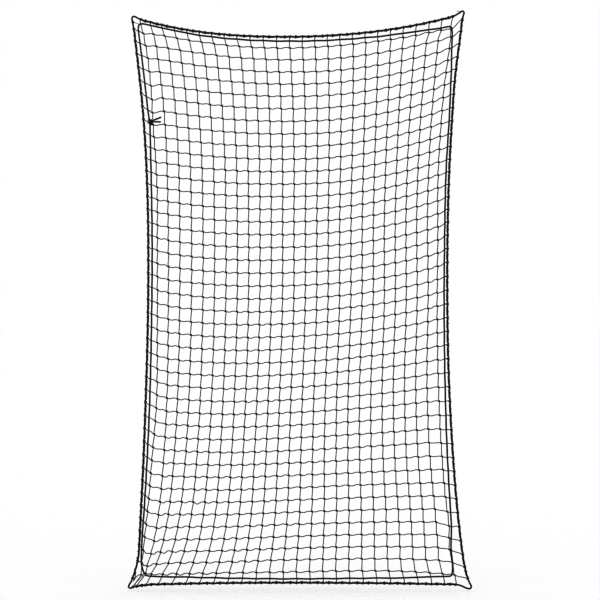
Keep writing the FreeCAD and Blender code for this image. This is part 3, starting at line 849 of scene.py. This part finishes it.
def make_twines():
    """The net's 69 twines, in pieces that hold the same ones as the CAD nodes."""
    section = twisted(TWINE_RADIUS * TWINE_FULLNESS, TWINE_PITCH)
    for node in sorted(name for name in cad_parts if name.startswith("net_twine_")):
        numbers = [int(word) for word in node.split("_")[2:]]
        strands = []
        for number in numbers:
            line = nurbs_line(twine_points(number))
            places, distances = spaced(line, TWINE_STEP, TWINE_BEND)
            strands.append(strand(places, distances, section, THIN_SIDES))
        piece(f"knotted_{node}", strands, NET_TWINE, "net_twine", node)


# ---- lacing cord, its knot and its two ends ----
def lacing_side(side):
    """The cord's points along one side, clockwise: in front of or behind each bar."""
    shares = {
        "left": LACING_LEFT, "top": LACING_TOP, "right": LACING_RIGHT, "bottom": LACING_BOTTOM,
    }[side]
    last = ROWS if side in ("left", "right") else COLUMNS
    points = []
    for number in range(shares[0][0], shares[-1][0] + 1):
        if side == "left" and number == LACING_KNOT_ROW:
            points += lacing_at_knot()
            continue
        outer, inner = {
            "left": ((0, number), (1, number)),
            "right": ((COLUMNS + 1, number), (COLUMNS, number)),
            "top": ((number, 0), (number, 1)),
            "bottom": ((number, ROWS + 1), (number, ROWS)),
        }[side]
        share = smooth(shares, number)[0]
        spot = between(SPOTS[outer], SPOTS[inner], share)
        bar = HITCH_DEPTH + (KNOT_DEPTHS[side] - HITCH_DEPTH) * share
        if side in ("left", "right"):
            bar = -bar
        bar += depth(*SPOTS[inner]) * share
        apart = TWINE_RADIUS * TWINE_FULLNESS + LACING_RADIUS
        near_corner = number <= FRONT_MESHES or number > last - FRONT_MESHES
        at_knot = side == "left" and abs(number - LACING_KNOT_ROW) <= FRONT_ROWS_AT_KNOT
        if near_corner or at_knot:
            back = min(bar, 0) - apart - FRONT_EXTRA
        elif number % 2:
            back = bar - apart / WEAVE_SHARE
        else:
            back = bar + apart / WEAVE_SHARE
        points.append(at(spot, back))
    return points if side in ("top", "right") else points[::-1]


def lacing_at_knot():
    """The cord's straight run through its knot, downwards."""
    x, z = LACING_KNOT
    return [Vector((x + right, -KNOT_STANDOFF, z + up)) for right, up in KNOT_APPROACH]


def lacing_points():
    """The cord's points, clockwise all round the panel from its knot to its knot."""
    front = -CROSSING_DEPTH - TWINE_RADIUS - LACING_RADIUS
    points = []
    for side in SIDES:
        points += lacing_side(side)
        points += [at(spot, front) for spot in LACING_CORNERS[side]]
    middle = points.index(lacing_at_knot()[1])
    return points[middle:] + points[:middle + 1]


def lacing_strand(points, taper=0.0):
    line = nurbs_line(points, resolution=8)
    places, distances = spaced(line, ROPE_STEP, LACING_BEND)
    section = braided(LACING_RADIUS * LACING_FULLNESS, LACING_PITCH)
    return strand(places, distances, section, THICK_SIDES, taper=taper)


def make_lacing():
    """The cord all round the panel, its knot and its two cut ends."""
    piece("lacing_cord_braided", [lacing_strand(lacing_points())], LACING, "lacing_cord", "lacing_cord")
    centre = lacing_at_knot()[1]
    coil = [[part * loose for part, loose in zip(point, KNOT_LOOSENESS)] for point in KNOT_COIL]
    for name, route, taper, node in (
        ("lacing_knot_tied", coil, COIL_TAPER, "lacing_knot"),
        ("lacing_end_upper", UPPER_END, END_TAPER, "lacing_tail_upper"),
        ("lacing_end_lower", LOWER_END, END_TAPER, "lacing_tail_lower"),
    ):
        points = [centre + Vector(point) * LACING_RADIUS for point in route]
        piece(name, [lacing_strand(points, taper)], LACING, "lacing_cord", node)


# ---- camera, floor and light ----
def make_stage():
    """A pale floor just under the panel, out to the horizon."""
    mesh = bpy.data.meshes.new("floor")
    corners = ((-1, -1), (1, -1), (1, 1), (-1, 1))
    mesh.from_pydata(
        [(x * FLOOR_HALF_WIDTH, y * FLOOR_HALF_WIDTH, 0) for x, y in corners], [], [(0, 1, 2, 3)])
    floor = bpy.data.objects.new("floor", mesh)
    floor.location.z = CAD_BOX[0][2] - FLOOR_GAP
    bpy.context.scene.collection.objects.link(floor)
    material = bpy.data.materials.new("pale_floor")
    material.use_nodes = True
    surface = material.node_tree.nodes["Principled BSDF"]
    surface.inputs["Base Color"].default_value = (0.35, 0.35, 0.35, 1)
    surface.inputs["Roughness"].default_value = 1
    surface.inputs["Specular IOR Level"].default_value = 0
    # What the matt floor swallows of the white surroundings it gives out again.
    surface.inputs["Emission Color"].default_value = (1, 1, 1, 1)
    surface.inputs["Emission Strength"].default_value = 0.65
    mesh.materials.append(material)


def make_light():
    """White surroundings, and three lamps that light the net but not the floor."""
    world = bpy.data.worlds.new("studio")
    world.use_nodes = True
    world.node_tree.nodes["Background"].inputs["Color"].default_value = (1, 1, 1, 1)
    world.node_tree.nodes["Background"].inputs["Strength"].default_value = 1.0
    bpy.context.scene.world = world
    for name, place, power, size in (
        ("key", (-2.2, -3.2, 2.4), 340, 1.2),
        ("fill", (2.8, -2.6, 0.6), 90, 2.5),
        ("rim", (0.4, 3.0, 2.2), 200, 1.5),
    ):
        light = bpy.data.lights.new(name, "AREA")
        light.energy = power
        light.size = size
        lamp = bpy.data.objects.new(name, light)
        lamp.location = place
        lamp.rotation_euler = (-Vector(place)).to_track_quat("-Z", "Y").to_euler()
        lamp.light_linking.receiver_collection = LIT_PIECES
        bpy.context.scene.collection.objects.link(lamp)


def make_camera():
    """In front of the panel, where the photographer stood."""
    data = bpy.data.cameras.new("camera")
    data.sensor_width = SENSOR_WIDTH
    data.lens = SENSOR_WIDTH * VIEW_DISTANCE / VIEW_WIDTH
    camera = bpy.data.objects.new("camera", data)
    camera.location = (VIEW_MIDDLE, -VIEW_DISTANCE, 0)
    camera.rotation_euler = (math.pi / 2, 0, 0)
    bpy.context.scene.collection.objects.link(camera)
    bpy.context.scene.camera = camera


bpy.context.scene.view_settings.view_transform = "Standard"
bpy.context.scene.view_settings.gamma = 0.46
make_camera()
make_light()
make_stage()
make_border_rope()
for side in SIDES:
    make_lashing(side)
make_twines()
make_lacing()
